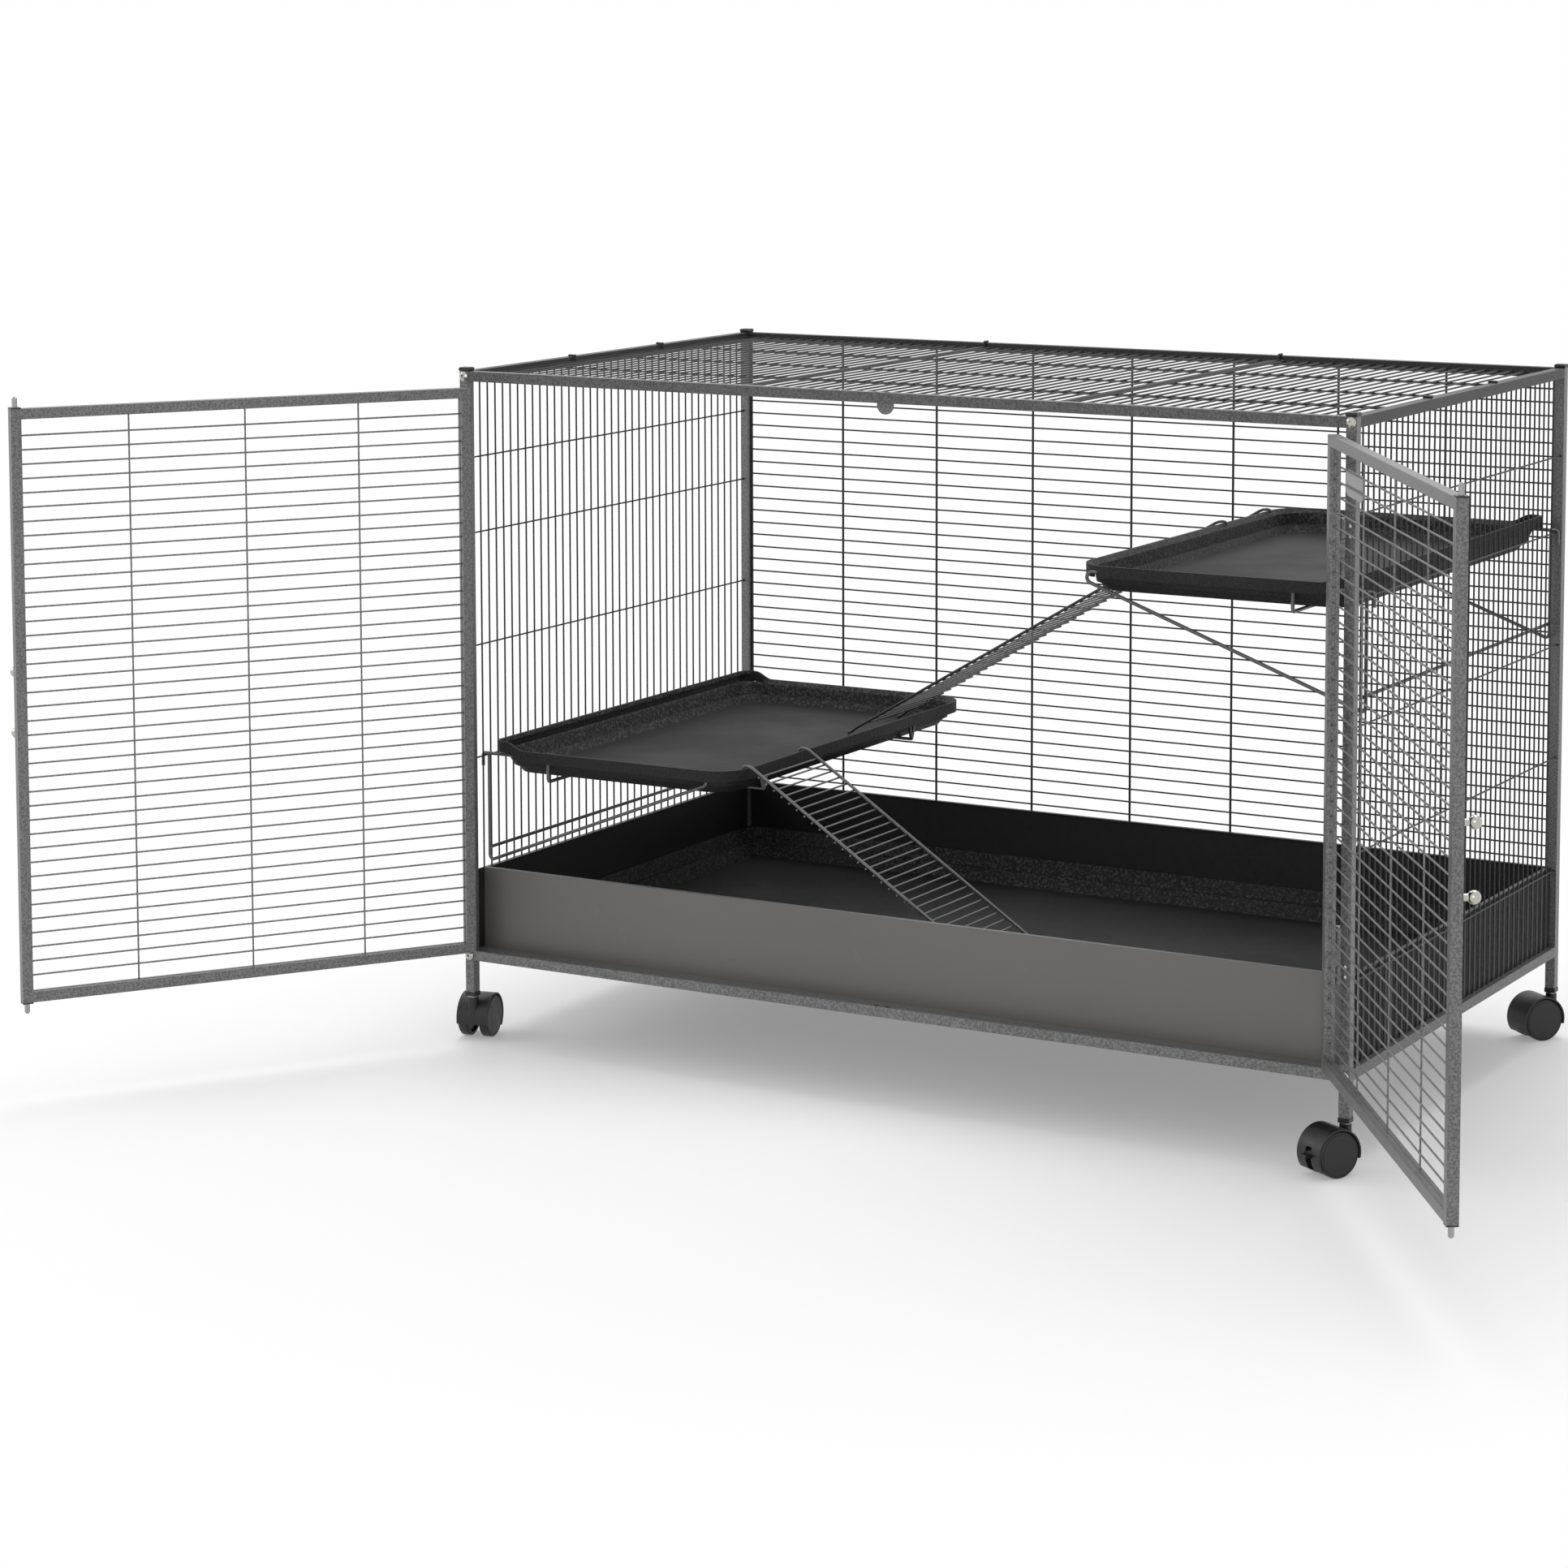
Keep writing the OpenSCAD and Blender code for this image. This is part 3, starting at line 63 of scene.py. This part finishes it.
class Shader:
    """A node material: short calls that add one node each and return an output socket."""

    def __init__(self, name):
        self.material = bpy.data.materials.new(name)
        self.material.use_nodes = True
        self.tree = self.material.node_tree
        self.bsdf = self.tree.nodes["Principled BSDF"]
        self.place = self.add("ShaderNodeTexCoord").outputs["Object"]

    def add(self, kind, **settings):
        node = self.tree.nodes.new(kind)
        for key, value in settings.items():
            setattr(node, key, value)
        return node

    def feed(self, socket, value):
        if isinstance(value, bpy.types.NodeSocket):
            self.tree.links.new(value, socket)
        else:
            socket.default_value = value

    def noise(self, size, detail=2.0, rough=0.5, place=None):
        """Noise whose blobs are about size metres across."""
        node = self.add("ShaderNodeTexNoise")
        self.feed(node.inputs["Vector"], place or self.place)
        node.inputs["Scale"].default_value = 0.5 / size
        node.inputs["Detail"].default_value = detail
        node.inputs["Roughness"].default_value = rough
        return node.outputs["Fac"]

    def cells(self, size, place=None):
        node = self.add("ShaderNodeTexVoronoi", feature="SMOOTH_F1")
        self.feed(node.inputs["Vector"], place or self.place)
        node.inputs["Scale"].default_value = 1 / size
        return node.outputs["Distance"]

    def remap(self, value, low, high, to_low=0.0, to_high=1.0):
        node = self.add("ShaderNodeMapRange", interpolation_type="SMOOTHSTEP")
        self.feed(node.inputs["Value"], value)
        for key, number in zip(("From Min", "From Max", "To Min", "To Max"), (low, high, to_low, to_high)):
            node.inputs[key].default_value = number
        return node.outputs["Result"]

    def math(self, operation, first, second=0.0):
        node = self.add("ShaderNodeMath", operation=operation)
        self.feed(node.inputs[0], first)
        self.feed(node.inputs[1], second)
        return node.outputs["Value"]

    def mix(self, factor, first, second):
        node = self.add("ShaderNodeMix", data_type="RGBA")
        self.feed(node.inputs["Factor"], factor)
        self.feed(node.inputs["A"], first)
        self.feed(node.inputs["B"], second)
        return node.outputs["Result"]

    def upward(self):
        """How far the surface faces up: 1 on a floor, 0 on a wall, -1 below."""
        split = self.add("ShaderNodeSeparateXYZ")
        self.feed(split.inputs["Vector"], self.add("ShaderNodeNewGeometry").outputs["Normal"])
        return split.outputs["Z"]

    def bump(self, height, depth, strength=1.0, edge=0.0):
        """Bump of depth metres over edges rounded to the radius edge."""
        node = self.add("ShaderNodeBump")
        self.feed(node.inputs["Height"], height)
        node.inputs["Distance"].default_value = depth
        self.feed(node.inputs["Strength"], strength)
        if edge:
            soft = self.add("ShaderNodeBevel", samples=4)
            soft.inputs["Radius"].default_value = edge
            self.feed(node.inputs["Normal"], soft.outputs["Normal"])
        self.feed(self.bsdf.inputs["Normal"], node.outputs["Normal"])

    def finish(self, color, rough, metal=0.0, gloss=0.5, coat=0.0):
        self.feed(self.bsdf.inputs["Base Color"], color)
        self.feed(self.bsdf.inputs["Roughness"], rough)
        self.bsdf.inputs["Metallic"].default_value = metal
        self.bsdf.inputs["Specular IOR Level"].default_value = gloss
        self.bsdf.inputs["Coat Weight"].default_value = coat
        self.bsdf.inputs["Coat Roughness"].default_value = 0.15
        return self.material


# ------------------------------------------------------------------ materials
# Greys are display levels, sizes and heights are metres
FRAME_GREYS = (84, 134)
# Painted shade: the darker grey for the panel wire mesh and top rails, which wear the same paint as the
# low rails.
SHADED_WIRE_GREYS = (34, 58)
LOW_RAIL_GREYS = (84, 126)
LOW_RAIL_TOP = 0.111
WIRES_FROM = 0.116
PAINT_GRAIN = 0.0011
TUBE_EDGE = 0.0012
THIN_EDGE = 0.0005


def hammertone(name, dark, light, metal=0.35):
    """Stoved grey paint: a fine mottle of pits, a slow cloud, and soft tube edges."""
    s = Shader(name)
    pits = s.remap(s.cells(0.0014), 0.15, 0.6)
    grain = s.remap(s.noise(PAINT_GRAIN, 3, 0.6), 0.38, 0.62)
    cloud = s.noise(0.05, 2)
    mottle = s.math("ADD", s.math("MULTIPLY", grain, 0.7), s.math("MULTIPLY", cloud, 0.3))
    s.bump(s.math("ADD", pits, grain), 0.00005, 0.5, TUBE_EDGE)
    return s.finish(s.mix(mottle, grey(dark), grey(light)), s.remap(grain, 0, 1, 0.34, 0.46), metal)


def panel_paint_with_shade(name):
    """The same paint on the wire panels: grey on the low rails, with painted shade above them, where the
    wire mesh and top rails get a darker grey for the shade they sit in.
    """
    s = Shader(name)
    split = s.add("ShaderNodeSeparateXYZ")
    s.feed(split.inputs["Vector"], s.place)
    height = split.outputs["Z"]
    grain = s.remap(s.noise(PAINT_GRAIN, 3, 0.6), 0.38, 0.62)
    # Painted shade: the wire mesh and top rails above the low rails get the darker grey.
    wire_shade = s.mix(grain, *map(grey, SHADED_WIRE_GREYS))
    rails = s.mix(grain, *map(grey, LOW_RAIL_GREYS))
    s.bump(grain, 0.00004, 0.5, THIN_EDGE)
    tone = s.mix(s.remap(height, WIRES_FROM, LOW_RAIL_TOP), wire_shade, rails)
    return s.finish(tone, s.remap(grain, 0, 1, 0.36, 0.48), 0.1, 0.3)


def satin_sheet(name):
    """Painted sheet: an even satin grey with a very fine tooth and slow handling marks."""
    s = Shader(name)
    tooth = s.noise(0.0007, 2)
    cloud = s.noise(0.18, 2)
    marks = s.remap(s.noise(0.025, 4, 0.7), 0.62, 0.75)
    s.bump(tooth, 0.00002, 0.35, 0.0008)
    tone = s.mix(cloud, tint(98, 97, 95), tint(114, 112, 110))
    worn = s.mix(s.math("MULTIPLY", marks, 0.25), tone, tint(132, 130, 127))
    return s.finish(worn, s.remap(cloud, 0.3, 0.7, 0.42, 0.52), 0.2)


def black_paint(name):
    """Thin black stove enamel with a faint orange peel."""
    s = Shader(name)
    peel = s.noise(0.0025, 2)
    s.bump(peel, 0.00004, 0.4, THIN_EDGE)
    return s.finish(s.mix(peel, grey(24), grey(32)), s.remap(peel, 0.3, 0.7, 0.4, 0.5), 0.1)


def tray_plastic(name, dark, light):
    """Black moulding: fine speckled floor, coarse leather grain on the slopes with lighter flecks that are
    painted glints of the grain, plain outer walls.
    """
    s = Shader(name)
    up = s.upward()
    slope = s.remap(up, 0.999, 0.93)
    wall = s.remap(up, 0.25, 0.08)
    speck = s.remap(s.noise(0.0011, 2, 0.6), 0.35, 0.65)
    grain_and_glints = s.remap(s.noise(0.0019, 3, 0.7), 0.45, 0.64)
    worn = s.noise(0.07, 3)
    floor = s.mix(speck, grey(dark), grey(light))
    # Slopes: near-black plastic whose coarse grain carries lighter flecks, which are painted glints,
    # brighter where the slow cloud is high.
    glinting_slopes = s.mix(grain_and_glints, grey(20), s.mix(worn, grey(44), grey(88)))
    edges = s.mix(speck, grey(26), grey(40))
    color = s.mix(slope, floor, s.mix(wall, glinting_slopes, edges))
    s.bump(s.math("ADD", speck, grain_and_glints), 0.0003, s.remap(slope, 0, 1, 0.2, 0.9), 0.0015)
    return s.finish(color, s.remap(worn, 0.35, 0.65, 0.5, 0.62), 0.0, 0.2)


def black_plastic(name):
    """Injection-moulded black plastic with a soft gloss."""
    s = Shader(name)
    haze = s.noise(0.004, 3)
    s.bump(s.noise(0.0006, 2), 0.00002, 0.3, 0.0006)
    return s.finish(s.mix(haze, grey(20), grey(30)), s.remap(haze, 0.3, 0.7, 0.34, 0.46), 0.0, 0.5)


def nickel(name):
    """Polished plating, a little warm."""
    s = Shader(name)
    haze = s.noise(0.003, 2)
    s.bump(haze, 0.00001, 0.2, 0.0003)
    color = s.mix(haze, tint(176, 173, 166), tint(190, 188, 183))
    return s.finish(color, s.remap(haze, 0.3, 0.7, 0.1, 0.18), 1.0)


def bare_wire(name, dark, light):
    """Grey wire with a metallic sheen."""
    s = Shader(name)
    grain = s.noise(0.0012, 3, 0.6)
    s.bump(grain, 0.00004, 0.4)
    return s.finish(s.mix(grain, grey(dark), grey(light)), s.remap(grain, 0.3, 0.7, 0.28, 0.4), 0.6)


def steel(name):
    """Bright drawn steel."""
    s = Shader(name)
    draw = s.noise(0.0008, 3)
    s.bump(draw, 0.00002, 0.4, 0.0004)
    return s.finish(s.mix(draw, grey(140), grey(172)), s.remap(draw, 0.3, 0.7, 0.22, 0.36), 1.0)


def plate_metal(name):
    """Plain dull plate, with no marking."""
    s = Shader(name)
    grain = s.noise(0.001, 2)
    s.bump(grain, 0.00003, 0.3, 0.0004)
    return s.finish(s.mix(grain, grey(150), grey(166)), 0.45, 0.4)


PANEL_NODES = ("rear_panel", "left_panel", "right_panel", "top_panel")
DOOR_NODES = ("left_door", "right_door")
BRACKET_NODES = ("left_bracket", "right_bracket")


def dress():
    """Give each piece the material of its record slot, or its own one."""
    looks = {
        "frame_paint": hammertone("frame_paint", *FRAME_GREYS),
        "black_paint": black_paint("black_paint"),
        "tray_plastic": tray_plastic("tray_plastic", 16, 30),
        "black_plastic": black_plastic("black_plastic"),
        "nickel": nickel("nickel"),
        "bright_wire": bare_wire("bright_wire", 84, 124),
        "steel": steel("steel"),
        "plate": plate_metal("plate"),
    }
    # The panels' paint carries painted shade on everything above the low rails.
    own = dict.fromkeys(PANEL_NODES, panel_paint_with_shade("panel_paint_with_shade"))
    own.update(dict.fromkeys(DOOR_NODES, hammertone("door_paint", *FRAME_GREYS, metal=0.45)))
    own.update(dict.fromkeys(BRACKET_NODES, bare_wire("bracket_wire", 74, 112)))
    # Painted shade: the high ramp gets a darker copy of the ramp wire for the shade it sits in.
    own["high_ramp"] = bare_wire("shaded_ramp_wire", 46, 80)
    # Painted shade: the front top rail gets a darker copy of the frame paint for the dim light on its
    # front face.
    own["front_top_rail"] = hammertone("shaded_rail_paint", 64, 104)
    own["floor_tray"] = tray_plastic("floor_plastic", 18, 32)
    own["front_guard"] = satin_sheet("guard_paint")
    for part in frame["record"]["subparts"]:
        node = part["node"]
        data = NODES[node].data
        data.materials.clear()
        data.materials.append(own.get(node) or looks[part["material_slot"]])


# ------------------------------------------------------------------ studio
FLOOR_HALF = 12
SHADOW_REACH = 0.9
WHITE_FROM = 1.55


def area_lamp(name, size, at, towards, power):
    data = bpy.data.lights.new(name, "AREA")
    data.shape = "RECTANGLE"
    data.size, data.size_y = size
    data.energy = power
    lamp = bpy.data.objects.new(name, data)
    bpy.context.scene.collection.objects.link(lamp)
    lamp.location = at
    lamp.rotation_euler = (Vector(towards) - Vector(at)).to_track_quat("-Z", "Y").to_euler()


def wire(tree, node, index, value):
    if isinstance(value, bpy.types.NodeSocket):
        tree.links.new(value, node.inputs[index])
    else:
        node.inputs[index].default_value = value


def calc(tree, operation, *values):
    node = tree.nodes.new("ShaderNodeMath")
    node.operation = operation
    for index, value in enumerate(values):
        wire(tree, node, index, value)
    return node.outputs["Value"]


def seen(tree):
    """1 for rays from the camera, a mirror or glass, 0 for rays that carry light."""
    path = tree.nodes.new("ShaderNodeLightPath").outputs
    plain = calc(tree, "MAXIMUM", path["Is Camera Ray"], path["Is Transmission Ray"])
    return calc(tree, "MAXIMUM", plain, path["Is Glossy Ray"])


def make_world(level):
    """White where it is seen, an even soft light otherwise."""
    world = bpy.data.worlds.new("world")
    bpy.context.scene.world = world
    world.use_nodes = True
    tree = world.node_tree
    back = tree.nodes["Background"]
    back.inputs["Color"].default_value = (1, 1, 1, 1)
    strength = calc(tree, "MULTIPLY_ADD", seen(tree), 1 - level, level)
    tree.links.new(strength, back.inputs["Strength"])


def make_floor(near, far):
    """White floor that keeps the shadow near the object and is plain white further out."""
    mesh = bpy.data.meshes.new("floor")
    signs = ((-1, -1), (1, -1), (1, 1), (-1, 1))
    corners = [(x * FLOOR_HALF, y * FLOOR_HALF, 0) for x, y in signs]
    mesh.from_pydata(corners, [], [(0, 1, 2, 3)])
    floor = bpy.data.objects.new("floor", mesh)
    bpy.context.scene.collection.objects.link(floor)
    s = Shader("floor")
    cloud = s.noise(0.4, 2)
    s.finish(s.mix(cloud, grey(248), grey(251)), 0.6, 0.0, 0.2)
    reach = s.add("ShaderNodeVectorMath", operation="LENGTH")
    s.feed(reach.inputs[0], s.place)
    white = s.add("ShaderNodeEmission")
    blend = s.add("ShaderNodeMixShader")
    share = s.remap(reach.outputs["Value"], SHADOW_REACH, WHITE_FROM, near, far)
    s.feed(blend.inputs["Fac"], s.math("MULTIPLY", seen(s.tree), share))
    s.tree.links.new(s.bsdf.outputs["BSDF"], blend.inputs[1])
    s.tree.links.new(white.outputs["Emission"], blend.inputs[2])
    s.tree.links.new(blend.outputs["Shader"], s.tree.nodes["Material Output"].inputs["Surface"])
    mesh.materials.append(s.material)


def make_studio():
    make_world(0.55)
    make_floor(0.25, 1.0)
    area_lamp("top_light", (3.2, 2.6), (-0.3, 0.9, 3.4), (0, 0, 0.3), 78)
    area_lamp("left_light", (2.0, 1.8), (-3.4, -1.6, 2.0), (0, 0, 0.5), 26)
    area_lamp("front_light", (2.0, 1.6), (1.6, -3.8, 1.6), (0, 0, 0.5), 14)
    bpy.context.scene.view_settings.view_transform = "Standard"


# ------------------------------------------------------------------ making
make_camera()
dress()
make_studio()
